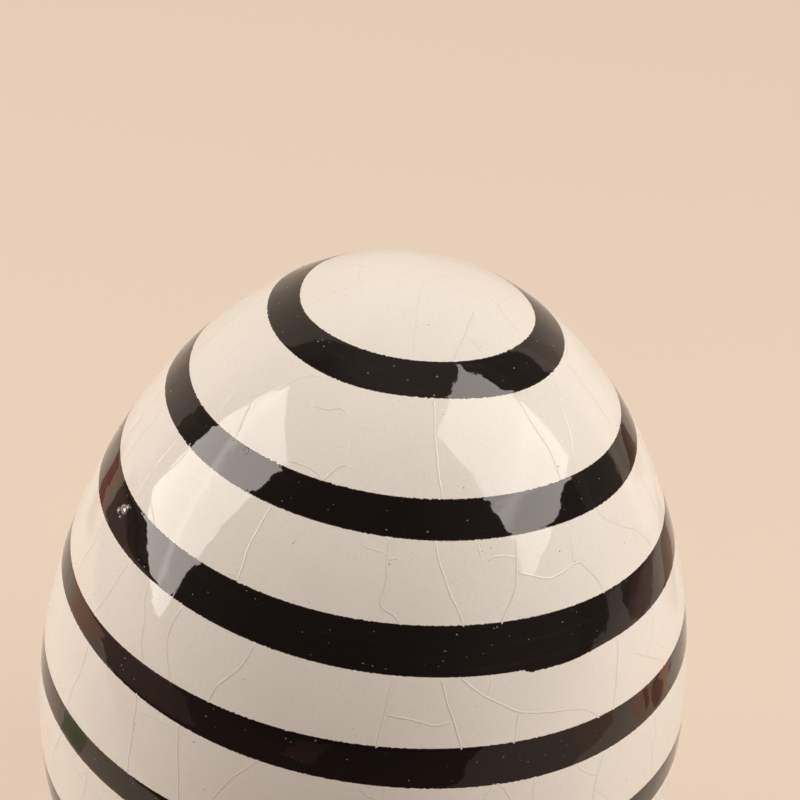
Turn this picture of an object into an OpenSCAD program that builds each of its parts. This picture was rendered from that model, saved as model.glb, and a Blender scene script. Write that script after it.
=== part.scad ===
/* [Egg] */
// Height of the egg from the table to its tip
egg_height = 106; // [80:1:140]
// Diameter at the widest circle
egg_width = 85; // [60:1:110]
// How far the widest circle sits below the middle of the uncut egg
widest_drop = 6.2; // [2:0.1:10]
// Height sliced off the round end, which leaves the flat foot
foot_cut = 4.7; // [3:0.1:8]

/* [Cast shell] */
// Wall of the slip-cast body, without its glaze
wall = 3.6; // [2.4:0.1:6]
// Width of the flat ring that touches the table
foot_ring = 4.2; // [3:0.1:6]
// Depth of the hollow inside the foot ring
foot_recess = 1.2; // [0.6:0.1:2.5]
// Diameter of the vent hole in the base
vent_width = 8; // [4:0.5:12]
// Rounding of the wet-sponged edges at the foot and the vent
sponged_edge = 0.6; // [0.3:0.05:0.9]
// Rounding inside, where the wall turns into the floor
floor_round = 5; // [2:0.5:9]

/* [Glaze] */
// Thickness of the fired glaze coat
glaze = 0.4; // [0.2:0.05:0.8]
// Bare body left between the glaze and the foot, along the surface
bare_margin = 2.4; // [1:0.1:5]
// Length over which the glaze thins to nothing at the foot
glaze_roll = 0.9; // [0.4:0.1:1.6]

/* [Painted bands] */
// Number of black bands
band_count = 8; // [4:1:9]
// Width of a black band, along the surface
band_width = 4.8; // [3:0.1:6.5]
// Distance along the surface from the tip to the middle of the first band
first_band = 17.4; // [14:0.2:24]
// Distance along the surface from the middle of the last band to the foot
last_band = 12.3; // [9:0.1:20]
// How far the black glaze stands proud of the cream glaze
band_relief = 0.08; // [0.04:0.01:0.2]
// Width of the rounded shoulder along each edge of a band
band_shoulder = 0.45; // [0.2:0.05:0.8]

/* [Hidden] */
$fn = 180;
cream = "#efe6d6";
black = "#171412";
bare_clay = "#d8c3a5";

// Each band's width as a share of band_width, from the tip down: the brush lays no two alike
width_shares = [1.00, 0.97, 1.24, 1.01, 0.84, 0.96, 1.08, 0.94, 1.00];
// How far each band strays towards the foot, as a share of the even spacing
drift_shares = [0, 0.10, 0.10, 0.04, 0, 0.03, -0.02, 0, 0];

// Longest step along the outline between two points of a profile
outline_step = 1.6;
// Number of steps in each rounded edge
round_steps = 5;

uncut_length = egg_height + foot_cut;
middle_height = uncut_length / 2 - foot_cut;

// The egg's outline turns with an angle that is 0 at the tip and 180 at the buried round end.
// Its breadth is that of an ellipse divided by a term that grows towards the tip.
function axial(a) = uncut_length / 2 * cos(a);
function bulge(a) = sqrt(pow(uncut_length, 2) + 8 * widest_drop * axial(a) + 4 * pow(widest_drop, 2));
function radius_at(a) = egg_width / 2 * uncut_length * sin(a) / bulge(a);

// Direction of the outline towards the foot, as [outward, up]
function run_at(a) =
    let (fall = -uncut_length / 2 * sin(a), b = bulge(a))
    [egg_width / 2 * uncut_length * (cos(a) / b - sin(a) * 4 * widest_drop * fall / pow(b, 3)), fall];
function outward_at(a) = let (run = run_at(a)) [-run.y, run.x] / norm(run);

// A point of the outline, moved inwards by depth, as [radius, height above the table]
function outline_point(a, depth = 0) =
    [radius_at(a), middle_height + axial(a)] - depth * outward_at(a);

// Distance along the surface from the tip, tabled against the outline's angle
angle_step = 0.5;
turns = 180 / angle_step;
function chord(i) = norm(outline_point((i + 1) * angle_step) - outline_point(i * angle_step));
reach_angles = [for (i = 0, reach = 0; i <= turns; reach = reach + chord(i), i = i + 1)
    [reach, i * angle_step]];

function angle_at_reach(reach) = lookup(reach, reach_angles);
function surface_point(reach, depth = 0) = outline_point(angle_at_reach(reach), depth);

// Angle at which the lower half of the outline, moved inwards by depth, crosses a height
function angle_at_height(height, depth) =
    lookup(height, [for (a = [180 : -angle_step : 90]) [outline_point(a, depth).y, a]]);
function reach_at_angle(angle) = lookup(angle, [for (pair = reach_angles) [pair[1], pair[0]]]);

foot_reach = reach_at_angle(angle_at_height(0, 0));
glaze_reach = foot_reach - bare_margin;
band_spacing = (foot_reach - last_band - first_band) / (band_count - 1);

function band_middle(i) = first_band + band_spacing * (i + drift_shares[i]);
function band_half(i) = band_width * width_shares[i] / 2;

// Where cream and black meet, from the tip to the end of the glaze
edges = concat([0],
    [for (i = [0 : band_count - 1]) each [band_middle(i) - band_half(i), band_middle(i) + band_half(i)]],
    [glaze_reach]);

// Even steps from one reach to another, both ends included
function steps(from, to) =
    let (n = max(2, ceil((to - from) / outline_step)))
    [for (i = [0 : n]) from + (to - from) * i / n];
function steps_onward(from, to) = [for (reach = steps(from, to)) if (reach > from) reach];
function backwards(list) = [for (i = [len(list) - 1 : -1 : 0]) list[i]];

// Height of a quarter ellipse of unit size, a share t of its way in from the edge
function shoulder(t) = sqrt(1 - pow(1 - min(t, 1), 2));
function shoulder_steps(width) = [for (i = [0 : round_steps]) width * (1 - cos(90 * i / round_steps))];

// Points round an arc from one direction to another
function arc(centre, radius, from, to) =
    [for (i = [0 : round_steps]) let (turn = from + (to - from) * i / round_steps)
        centre + radius * [cos(turn), sin(turn)]];

// Where the outline, moved inwards by depth, turns into a level floor with a rounded corner
function corner_angle(floor, depth, radius) = angle_at_height(floor + radius, depth + radius);
function corner_centre(floor, depth, radius) =
    [outline_point(corner_angle(floor, depth, radius), depth + radius).x, floor + radius];
function corner(floor, depth, radius) =
    let (out = outward_at(corner_angle(floor, depth, radius)))
    arc(corner_centre(floor, depth, radius), radius, atan2(out.y, out.x), -90);

floor_height = foot_recess + wall;
inner_depth = glaze + wall;
soft_edge = min(sponged_edge, foot_recess / 2);
recess_radius = corner_centre(0, glaze, soft_edge).x - foot_ring - soft_edge;
bare_end = reach_at_angle(corner_angle(0, glaze, soft_edge));
inner_end = reach_at_angle(corner_angle(floor_height, inner_depth, floor_round));

// Outer face of the shell: the steps of every glaze zone, then the bare margin
shell_reaches = concat([0],
    [for (k = [0 : len(edges) - 2]) each steps_onward(edges[k], edges[k + 1])],
    [for (reach = steps_onward(glaze_reach, bare_end)) if (reach < bare_end) reach]);

module cast_shell() {
    vent = vent_width / 2;
    outer = [for (reach = shell_reaches) surface_point(reach, glaze)];
    inner = [for (reach = steps(0, inner_end)) if (reach < inner_end) surface_point(reach, inner_depth)];
    underside = concat(
        corner(0, glaze, soft_edge),
        arc([recess_radius + soft_edge, soft_edge], soft_edge, -90, -180),
        arc([recess_radius - soft_edge, foot_recess - soft_edge], soft_edge, 0, 90));
    vent_wall = concat(
        arc([vent + soft_edge, foot_recess + soft_edge], soft_edge, -90, -180),
        arc([vent + soft_edge, floor_height - soft_edge], soft_edge, 180, 90));
    color(bare_clay)
    rotate_extrude()
    polygon(concat(outer, underside, vent_wall,
        backwards(corner(floor_height, inner_depth, floor_round)), backwards(inner)));
}

// A zone of cream glaze between two reaches, which thins away over roll at its lower edge
module cream_zone(from, to, roll = 0) {
    level = [for (reach = steps(from, to)) if (reach < to - roll) surface_point(reach)];
    thinning = roll == 0
        ? [surface_point(to)]
        : [for (back = backwards(shoulder_steps(roll)))
            surface_point(to - back, glaze * (1 - shoulder(back / roll)))];
    seat = [for (reach = steps(from, to)) if (roll == 0 || reach < to) surface_point(reach, glaze)];
    color(cream)
    rotate_extrude()
    polygon(concat(level, thinning, backwards(seat)));
}

// A band of black glaze, proud of the cream, with a rounded shoulder along each edge
module black_band(from, to) {
    rise = shoulder_steps(band_shoulder);
    crest = [for (reach = steps(from, to))
        if (reach > from + band_shoulder && reach < to - band_shoulder) reach];
    face = concat([for (in = rise) from + in], crest, [for (in = backwards(rise)) to - in]);
    top = [for (reach = face) let (in = min(reach - from, to - reach))
        surface_point(reach, -band_relief * shoulder(in / band_shoulder))];
    seat = [for (reach = steps(from, to)) surface_point(reach, glaze)];
    color(black)
    rotate_extrude()
    polygon(concat(top, backwards(seat)));
}

cast_shell();
cream_zone(edges[0], edges[1]);  // crown_glaze
for (i = [1 : band_count])
    black_band(edges[2 * i - 1], edges[2 * i]);
for (i = [1 : band_count - 1])
    cream_zone(edges[2 * i], edges[2 * i + 1]);
cream_zone(edges[2 * band_count], glaze_reach, glaze_roll);  // base_glaze
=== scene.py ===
"""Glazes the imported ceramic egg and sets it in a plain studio.

Each glaze zone is a thin closed coat over the egg's outline, worked out as whole numpy arrays.
A place on the egg is a reach, the distance along the surface from the tip, and a turn round the
axis, which is 0 at the front and grows to the right. Lengths are metres.
"""

import bpy
import numpy as np
from bpy.props import FloatProperty, FloatVectorProperty, IntProperty, PointerProperty
from mathutils import Matrix, Vector


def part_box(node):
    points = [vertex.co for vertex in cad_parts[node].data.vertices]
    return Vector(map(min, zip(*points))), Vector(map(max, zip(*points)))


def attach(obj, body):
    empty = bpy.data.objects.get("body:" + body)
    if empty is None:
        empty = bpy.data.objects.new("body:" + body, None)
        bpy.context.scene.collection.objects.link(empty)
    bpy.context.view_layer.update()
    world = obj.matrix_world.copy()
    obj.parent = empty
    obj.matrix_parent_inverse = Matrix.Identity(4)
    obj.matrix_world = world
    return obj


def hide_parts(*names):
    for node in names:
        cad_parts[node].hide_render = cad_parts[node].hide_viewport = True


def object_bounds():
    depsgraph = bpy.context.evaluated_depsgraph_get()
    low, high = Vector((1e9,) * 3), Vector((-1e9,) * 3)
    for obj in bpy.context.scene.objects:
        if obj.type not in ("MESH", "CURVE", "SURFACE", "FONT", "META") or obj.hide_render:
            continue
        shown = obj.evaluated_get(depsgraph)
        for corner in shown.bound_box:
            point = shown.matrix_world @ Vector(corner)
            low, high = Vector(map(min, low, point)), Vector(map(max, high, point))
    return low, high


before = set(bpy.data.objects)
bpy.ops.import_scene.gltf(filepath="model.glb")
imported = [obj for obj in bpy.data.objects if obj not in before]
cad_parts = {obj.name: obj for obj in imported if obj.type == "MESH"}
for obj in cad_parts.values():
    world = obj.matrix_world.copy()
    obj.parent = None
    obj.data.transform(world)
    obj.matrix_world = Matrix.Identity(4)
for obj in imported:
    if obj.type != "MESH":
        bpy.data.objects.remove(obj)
CAD_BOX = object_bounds()
EGG_SIZE = CAD_BOX[1] - CAD_BOX[0]
WIDEST_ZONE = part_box("cream_band_5")

bl_info = {
    "name": "Striped ceramic egg",
    "version": (1, 0, 0),
    "blender": (4, 5, 0),
    "location": "3D View > Sidebar > Egg",
    "description": "Crackle glaze, brushed bands, bare foot and studio for a slip-cast egg",
    "category": "Add Mesh",
}

MM = 0.001
COLUMNS = 1440
FIRST_TURN = np.radians(-75)
TURNS = FIRST_TURN + 2 * np.pi * np.arange(COLUMNS) / COLUMNS
TABLE_STEPS = 6000
ROOT = "root"

# Each band's width as a share of the band width, from the tip down: the brush lays no two alike
WIDTH_SHARES = (1.00, 0.97, 1.24, 1.01, 0.84, 0.96, 1.08, 0.94)
# How far each band strays towards the foot, as a share of the even spacing
DRIFT_SHARES = (0, 0.10, 0.10, 0.04, 0, 0.03, -0.02, 0)
BANDS = len(WIDTH_SHARES)

# How far an edge of a band strays towards the foot, in mm, every 30 degrees from 75 left of the
# front to 75 right of it. Edges count from the first band's upper edge. The others stray by chance.
FRONT_STRAY = {
    1: (0.15, 0.22, 0.08, -0.09, -0.08, 0.00),
    2: (-0.24, 0.00, 0.12, -0.13, 0.23, 0.18),
    3: (0.18, 0.22, 0.15, -0.02, -0.08, 0.20),
    4: (-0.03, 0.05, 0.12, 0.10, 0.05, 0.12),
    5: (0.10, 0.20, 0.20, 0.06, 0.08, 0.30),
    6: (-0.20, -0.25, 0.05, 0.15, 0.15, 0.00),
    7: (0.50, 0.40, 0.18, 0.00, 0.16, 0.10),
    8: (-0.70, -0.56, 0.04, 0.23, 0.26, -0.25),
    9: (0.00, 0.00, 0.05, 0.10, 0.05, 0.00),
    10: (-0.10, -0.10, 0.00, 0.10, 0.15, 0.05),
}
CONTROL_TURNS = 12

# Crackle lines on the side that faces the viewer, for each cream zone from the tip down. A line is
# a strength and its route, as pairs of degrees round the egg and millimetres of reach.
CROWN_LINES = (
    (0.5, ((14, 1.2), (6, 2.5), (1, 5), (0, 7), (0.5, 10), (1.5, 14.6))),
    (0.9, ((53, 8.5), (40, 10), (32, 11.6), (25, 13.2), (21.4, 14.8))),
    (0.9, ((32, 11.5), (35, 12.2), (37, 13.4), (38, 14.8))),
    (0.7, ((69, 14.4), (72, 12), (76, 10.6), (81, 9.6), (84, 8.8))),
    (0.6, ((79, 9.9), (90, 10.4), (103, 11.6))),
    (0.5, ((100, 1.8), (110, 3.5), (118, 6), (122, 8.5))),
)
FRONT_LINES = {
    1: (
        (1.0, ((10.5, 19.6), (10.9, 22), (11, 24), (11.5, 27), (12.2, 29), (12.9, 31.6))),
        (0.8, ((-56.4, 27.2), (-55.4, 28.4), (-55, 29.6), (-55.3, 31.6))),
        (0.9, ((-31.5, 23.4), (-28, 23.8), (-24, 23.8), (-20.5, 23.2), (-18.5, 23.1), (-15.5, 24.3),
               (-14, 25.3), (-12.8, 27), (-12.2, 29))),
        (1.0, ((-16.8, 31.6), (-15.6, 30.6), (-14.4, 29.9), (-13, 29.4), (-11.3, 29.3))),
        (0.8, ((-28, 31.0), (-25, 30.8), (-22, 30.8), (-19.5, 31), (-18, 31.3), (-17.2, 31.8))),
        (0.6, ((-31, 20.2), (-36.3, 21), (-40.2, 22.6), (-42.8, 24), (-46, 26), (-48.3, 28))),
        (0.8, ((-49.6, 25.8), (-47.9, 27), (-46.5, 28.4), (-45.3, 30), (-44.4, 31.8))),
        (1.0, ((43, 20), (43.9, 22), (44.6, 24), (46, 26), (47, 28), (47.2, 30), (47.2, 31.5))),
        (0.6, ((44.2, 21), (46.5, 22.2), (49, 24), (51.5, 26), (54, 28.4))),
        (0.8, ((66, 20.2), (63, 22.5), (60, 25), (57, 28), (55, 30), (54, 31.6))),
        (0.4, ((-71.5, 22.5), (-70.7, 24.6), (-70, 26.8), (-69.4, 29))),
    ),
    2: (
        (0.8, ((-60.8, 36.6), (-61.3, 40), (-61.7, 43), (-61.8, 46))),
        (1.0, ((-54.8, 36.5), (-55.5, 38.4), (-56.6, 40.3), (-57.8, 42), (-58.2, 43.1), (-56.9, 44.1),
               (-54.4, 45), (-51.5, 46))),
        (1.0, ((-26.2, 36.3), (-26.9, 38), (-27.4, 40), (-27.7, 42), (-27.5, 44), (-27.4, 46.2))),
        (0.5, ((-31, 45.9), (-29.2, 45.6), (-27.4, 45.2))),
        (0.7, ((-5.4, 37), (-4.4, 37.6), (-3, 37.9), (-1, 38.1), (1.4, 38.2))),
        (1.0, ((1.2, 36.3), (1.4, 38), (1.6, 39.6), (1.8, 41.2), (1.5, 42.8), (1.3, 44.1), (2.6, 44.7),
               (4.2, 45.2), (5.8, 46.2))),
        (0.7, ((1.7, 39), (2.7, 38.7), (4.2, 38.6))),
        (1.0, ((11.4, 36.3), (12, 37.6), (12.7, 39), (14.2, 41.2), (15.7, 43.2), (16.9, 44.6), (18, 46.2))),
        (0.8, ((20.9, 36.4), (21.6, 37.6), (22.3, 38.9))),
        (0.5, ((14.8, 41.2), (17, 40.5), (19.6, 40))),
        (0.8, ((23.4, 38.9), (24.4, 38.5), (26, 38.4), (28, 38.5), (30.1, 38.7))),
        (1.0, ((30.3, 36.4), (30.2, 38), (29.9, 39.6), (29.4, 41.2), (28.8, 42.6), (27.8, 43.8), (26.2, 45.2),
               (25.4, 46.3))),
        (1.0, ((29.8, 40.4), (33, 41.2), (36, 41.8), (38.5, 42), (41, 41.8), (43.5, 41.3), (46, 41.5),
               (47.4, 42.3), (48.5, 43.1), (50, 44.5), (51.1, 46.3))),
        (0.8, ((45, 36.5), (44.8, 38.2), (44.5, 39.8), (44, 41.4))),
        (0.8, ((55, 36.3), (57.3, 38.1), (60, 39.3), (63, 40.5), (67, 42), (70, 44), (72, 46.4))),
        (0.7, ((-75, 36.4), (-74, 39), (-74.6, 42), (-73.6, 46))),
    ),
    3: (
        (0.8, ((-53.1, 51.7), (-54, 54), (-55, 57), (-56.8, 60.9))),
        (1.0, ((-46.2, 51.8), (-45.5, 54), (-44.2, 55.5), (-43.2, 57.4), (-42.2, 59.2), (-40.8, 61))),
        (1.0, ((-36.5, 51.7), (-37.2, 53.6), (-37.5, 55.4), (-37, 57.2), (-35.6, 59), (-34, 61))),
        (1.0, ((-20.3, 51.8), (-20.8, 53.6), (-21.6, 55), (-22.9, 56.4), (-24.5, 58), (-25.5, 59.4),
               (-26, 61))),
        (0.4, ((-11.8, 60.9), (-9, 60.3), (-6, 60))),
        (1.0, ((5.4, 52), (5, 54), (4.7, 56), (4.4, 58), (3.8, 61))),
        (1.0, ((4.6, 56.7), (8, 57), (11, 57.4), (13, 57.7), (15, 57.6), (16.6, 57.3))),
        (1.0, ((13.8, 52), (14.8, 54), (15.8, 55.9), (17, 58), (17.8, 59.4), (18.4, 61))),
        (1.0, ((17.4, 52), (19.4, 53.2), (22, 54.4), (25, 55.6), (28, 56.7), (31, 57.4), (34, 57.7),
               (38, 58.2), (41, 58.6), (43.5, 59.4), (46.2, 61))),
        (0.7, ((23.6, 52.2), (23, 53.4), (22.2, 54.5))),
        (0.8, ((28.9, 56.8), (28.3, 58.5), (27.8, 61))),
        (0.9, ((52.7, 52), (52.1, 54), (51.4, 56), (50.6, 58), (49.6, 61))),
        (0.8, ((57, 55.4), (60.5, 57), (63, 58), (66, 59.4), (68, 61))),
        (0.6, ((66, 51.8), (65, 54), (62.5, 56), (60.4, 57))),
        (0.7, ((-68, 52), (-67, 55), (-68.4, 58), (-67.8, 61))),
    ),
    4: (
        (0.9, ((-55.6, 64.6), (-55.5, 67.5), (-56, 70), (-57.2, 72.5), (-57.7, 75.4))),
        (1.0, ((-40.2, 64.7), (-39.5, 67), (-39.1, 69.6), (-38.8, 72), (-38.4, 75.5))),
        (1.0, ((-30.4, 65.2), (-29.6, 67.6), (-28.8, 70), (-28, 72.4), (-27.2, 75.5))),
        (0.5, ((-39.7, 66.7), (-34, 66.2), (-30, 65.8))),
        (0.9, ((-15, 65.3), (-16.8, 67), (-19, 69), (-20.5, 71), (-21.6, 73), (-22, 75.5))),
        (0.8, ((1.4, 65.6), (3.5, 66.9), (5.8, 67.3))),
        (0.8, ((6.5, 65.5), (6.2, 66.4), (6, 67.4))),
        (0.9, ((6, 67.2), (7, 70), (6.4, 72.6), (7.6, 75.5))),
        (0.7, ((24.6, 65.4), (23.9, 66.4), (22.8, 67.6))),
        (0.8, ((25, 65.5), (26.6, 66.7), (28, 68.2), (28.6, 71), (27.8, 75.5))),
        (0.8, ((32.2, 65.6), (32, 67), (32, 69))),
        (0.8, ((40.4, 65.6), (42.8, 67.4), (45.6, 68.6))),
        (0.9, ((47.2, 65.6), (46, 67.6), (45.2, 70), (44.8, 72), (45.2, 75.5))),
        (0.6, ((45.2, 70.6), (47, 71.5), (49, 73.4), (50, 75.5))),
        (0.8, ((62, 65.5), (63, 68), (61.8, 71), (62.6, 75.4))),
    ),
}
# Flaws on the side that faces the viewer: degrees round the egg, millimetres of reach and of width
FRONT_BLISTERS = (
    (-43.6, 16.8, 0.26), (-42.6, 16.3, 0.2), (-39.5, 16.9, 0.2), (-6.4, 16.2, 0.2), (12.4, 16.9, 0.24),
    (19.7, 18.9, 0.26), (49.5, 17.2, 0.24), (82, 18.3, 0.22), (86, 18.2, 0.2),
)
FRONT_PINHOLES = (
    (47.8, 29.9, 0.3), (41.2, 39.3, 0.26), (-26.7, 66.4, 0.26), (-18.8, 39.6, 0.22), (2, 39.4, 0.24),
)
# Where the listed lines end and chance takes over, in degrees round the egg
DRAWN_FROM, DRAWN_TO = -78, 74

# The soft boxes: each one's corners in metres, their shares along and across it, where the lamp's
# streak lies across it at the start and how it drifts along, and the share of the light
SOFT_BOXES = {
    "left_soft_box": (
        ((-0.486, 0.024, 0.545), (-0.623, 0.166, 0.085), (-0.633, -0.169, 0.004), (-0.481, -0.296, 0.509)),
        (0, 0, 1, 0, 1, 1, 0, 1), (-0.03, 0.85), 1.07),
    "right_soft_box": (
        ((0.227, 0.02, 0.692), (0.205, 0.097, 0.727), (0.264, 0.051, 0.658), (0.588, 0.138, 0.345),
         (0.576, -0.303, 0.269), (0.186, -0.282, 0.672)),
        (0.06, 0, -0.17, -0.06, 0, 0.1, 0, 1, 1, 1, 1, 0), (0.655, 0.0), 0.94),
}

# A sheet round the camera's side that glows with painted room light and shade, dark at the front: in degrees from the
# front to the right, and how much of the backdrop's brightness it glows with there. Behind the egg it hangs no lower
# than its brow.
ROOM_GLOW_ROUND = (
    (-115.5, 0.30), (-100, 0.16), (-75, 0.12), (-40, 0.03), (10, 0.02), (45, 0.15), (77, 0.16), (80, 0.10),
    (93, 0.10), (94.5, 0.22), (100, 0.30), (102, 0.20), (121, 0.20), (123.3, 0.22),
    (124, 1.2), (128.5, 1.2), (130.5, 0.9), (137, 0.85), (142, 1.0), (160, 1.0),
)
# How far its right side leans back, as a share of the climb
ROOM_GLOW_LEAN = 0.2
ROOM_GLOW_RADIUS = 1.1
# A brighter patch of painted glow low on the sheet: from and to in degrees round, its height in degrees, its share
LOW_GLOW_PATCH = (94.5, 103, 14, 0.8)
ROOM_GLOW_FOOT, ROOM_GLOW_BROW = np.radians((-2, 60))

# What lies on the paper out of the camera's view and shows only in the glaze: each one's colour and
# its corners in metres. A later one lies on the earlier ones.
TABLE_CARDS = {
    # A dark sheet before the egg: painted shade, in the glaze and in the light the egg gets from below
    "front_shade_sheet": ("front_shade", (
        (-0.2, -0.008), (-0.185, -0.165), (-1.2, -0.5), (-1.2, -1.2), (1.2, -1.2), (0.186, -0.265), (0.1, -0.187))),
    "front_rug": ("rust", ((-0.125, -0.29), (-0.125, -0.5), (-0.055, -0.5), (-0.06, -0.31))),
    "side_cloth": ("grey_cloth", ((0.1, -0.06), (0.1, -0.187), (0.186, -0.265), (1.2, -1.2), (1.2, -0.1))),
    # A dim sheet at the egg's left: darker there, in the glaze and in the light the egg gets from that side
    "left_dim_sheet": ("left_dim", (
        (-0.262, 0.15), (-0.4, 0.235), (-0.65, 0.4), (-1.2, 0.5), (-1.2, -0.5), (-0.185, -0.165), (-0.2, -0.008))),
    "right_mat": ("mat", ((0.29, 0.1), (0.5, 0.12), (1.2, 0.26), (1.2, 0.7), (0.34, 0.27))),
    "back_mat": ("mat", ((0.19, 0.29), (0.26, 0.31), (1.2, 1.0), (1.2, 1.6), (0.45, 0.64))),
    "left_board": ("peach", (
        (-0.13, 0.058), (-0.148, 0.066), (-0.165, 0.15), (-0.235, 0.225), (-0.33, 0.245), (-0.232, 0.15),
        (-0.222, 0.003), (-0.18, 0.018))),
    "left_strip": ("wood", (
        (-0.145, 0.12), (-0.155, 0.15), (-0.225, 0.235), (-0.262, 0.215), (-0.2, 0.14), (-0.19, 0.11))),
    "left_sprig": ("olive", ((-0.088, 0.012), (-0.101, 0.014), (-0.115, -0.002), (-0.106, -0.013), (-0.09, -0.007))),
    "right_strip": ("mat", ((0.118, 0.11), (0.196, 0.13), (0.212, 0.21), (0.135, 0.21))),
    "side_board": ("mat", ((0.2, -0.06), (0.3, -0.1), (0.6, -0.12), (0.6, -0.02), (0.22, -0.012))),
    "right_board": ("peach", ((0.128, 0.064), (0.15, 0.03), (0.2, 0.018), (0.26, 0.035), (0.24, 0.08), (0.16, 0.09))),
    "right_slat": ("wood", ((0.161, 0.036), (0.183, 0.040), (0.210, 0.0465), (0.208, 0.055), (0.1595, 0.042))),
    "right_tab": ("wood", (
        (0.143, 0.044), (0.17, 0.050), (0.195, 0.062), (0.189, 0.0785), (0.165, 0.064), (0.150, 0.066), (0.139, 0.057))),
    "right_fleck": ("wood", ((0.131, 0.074), (0.136, 0.072), (0.142, 0.078), (0.139, 0.083))),
}
CARD_STEP = 0.1 * MM

FILL_PLACE, FILL_WIDTH, FILL_SHADE = (0.40, -0.48, 0.07), 0.3, (0.90, 0.96, 1.0)

PHOTO_PIXELS = 800
FOCAL_PIXELS = 2360.7
SENSOR = 36.0
CAMERA_PLACE = (0.0, -0.25397, 0.23408)
CAMERA_PAN, CAMERA_TILT, CAMERA_ROLL = np.radians((-0.1, 29.85, 8.35))


def length(name, description, default):
    """A size that a user may change, in metres."""
    return FloatProperty(name=name, description=description, default=default, min=0,
                         precision=5, unit="LENGTH", subtype="DISTANCE")


def colour(name, description, default):
    """A linear colour that a user may change."""
    return FloatVectorProperty(name=name, description=description, default=default, size=3,
                               min=0, max=1, subtype="COLOR")


class EggShape(bpy.types.PropertyGroup):
    """Sizes of the egg and its glaze zones"""
    egg_height: length("Egg height", "From the table to the tip", EGG_SIZE.z)
    egg_width: length("Egg width", "Diameter at the widest circle", WIDEST_ZONE[1].x - WIDEST_ZONE[0].x)
    widest_drop: length("Widest drop", "Widest circle below the middle of the uncut egg", 6.2 * MM)
    foot_cut: length("Foot cut", "Height sliced off the round end", 4.7 * MM)
    glaze: length("Glaze", "Thickness of the fired coat", 0.4 * MM)
    bare_margin: length("Bare margin", "Clay left bare above the foot, along the surface", 2.4 * MM)
    glaze_roll: length("Glaze roll", "Length over which the glaze thins away at the foot", 0.9 * MM)
    band_width: length("Band width", "Width of a black band along the surface", 4.8 * MM)
    first_band: length("First band", "From the tip to the middle of the first band", 17.4 * MM)
    last_band: length("Last band", "From the middle of the last band to the foot", 12.3 * MM)
    band_relief: length("Band relief", "How far the black stands proud of the cream", 0.012 * MM)
    band_shoulder: length("Band shoulder", "Rounded shoulder along each edge of a band", 0.5 * MM)


class EggBrush(bpy.types.PropertyGroup):
    """How unsteady the brush was"""
    stray: length("Stray", "Usual stray of an edge at the back", 0.15 * MM)
    ragged: length("Raggedness", "Fine raggedness of an edge", 0.021 * MM)
    reload_step: length("Reload step", "Step where the brush was set down again on the third band", 0.4 * MM)
    seed: IntProperty(name="Seed", description="Start of the chance in the brushwork", default=11)


class EggCrackle(bpy.types.PropertyGroup):
    """Size of the raised crackle lines"""
    line_width: length("Line width", "Width of a raised line at its foot", 0.33 * MM)
    line_height: length("Line height", "Height of a strong line", 0.044 * MM)
    cell: length("Cell", "Usual distance between lines", 9.5 * MM)
    seed: IntProperty(name="Seed", description="Start of the chance in the crackle", default=5)


class EggFlaws(bpy.types.PropertyGroup):
    """How many small flaws the kiln left, for each square millimetre"""
    blister_rate: FloatProperty(name="Blisters", description="Blisters on black glaze", default=0.15, min=0)
    blister_width: length("Blister width", "Usual width of a blister", 0.135 * MM)
    hair_rate: FloatProperty(name="Hairs", description="Short hairs fired into black glaze", default=0.003, min=0)
    pinhole_rate: FloatProperty(name="Pinholes", description="Dark pinholes in cream glaze", default=0.006, min=0)
    seed: IntProperty(name="Seed", description="Start of the chance in the flaws", default=3)


class EggFinish(bpy.types.PropertyGroup):
    """Colours and gloss of the clay and glazes"""
    cream: colour("Cream", "Cream glaze", (0.706, 0.702, 0.650))
    cream_deep: colour("Deep cream", "Cream glaze where it pooled", (0.656, 0.644, 0.586))
    cream_grain: colour("Cream grain", "Fine grain in cream glaze", (0.668, 0.659, 0.602))
    crack: colour("Crack", "Core of a crackle line", (0.34, 0.29, 0.23))
    black: colour("Black", "Black glaze", (0.0058, 0.0049, 0.0047))
    black_thin: colour("Thin black", "Black glaze where it thins at an edge", (0.060, 0.030, 0.021))
    clay: colour("Clay", "Bare fired clay", (0.70, 0.58, 0.44))
    clay_dark: colour("Dark clay", "Fired clay in its pores", (0.50, 0.39, 0.28))
    dust: colour("Dust", "Kiln dust caught in the glaze", (0.20, 0.14, 0.10))
    # Light grey skin of a blister on black: partly its own pale colour, partly a painted glint
    ash_and_glint: colour("Ash", "Skin of a blister in black glaze", (0.16, 0.15, 0.14))
    slag: colour("Slag", "Glassy lump fired onto a band", (0.20, 0.19, 0.17))
    gloss: FloatProperty(name="Gloss roughness", description="Roughness of the fired glaze",
                         default=0.03, min=0, max=1, subtype="FACTOR")
    cream_shine: FloatProperty(name="Cream shine", description="How strongly cream glaze reflects",
                               default=0.30, min=0, max=1, subtype="FACTOR")
    cream_glint: colour("Cream glint", "Tint of what cream glaze reflects head on", (0.84, 0.96, 1.0))
    glassiness: FloatProperty(name="Glassiness", description="Refractive index of what the kiln left on black",
                              default=2.0, min=1, max=3)


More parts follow.
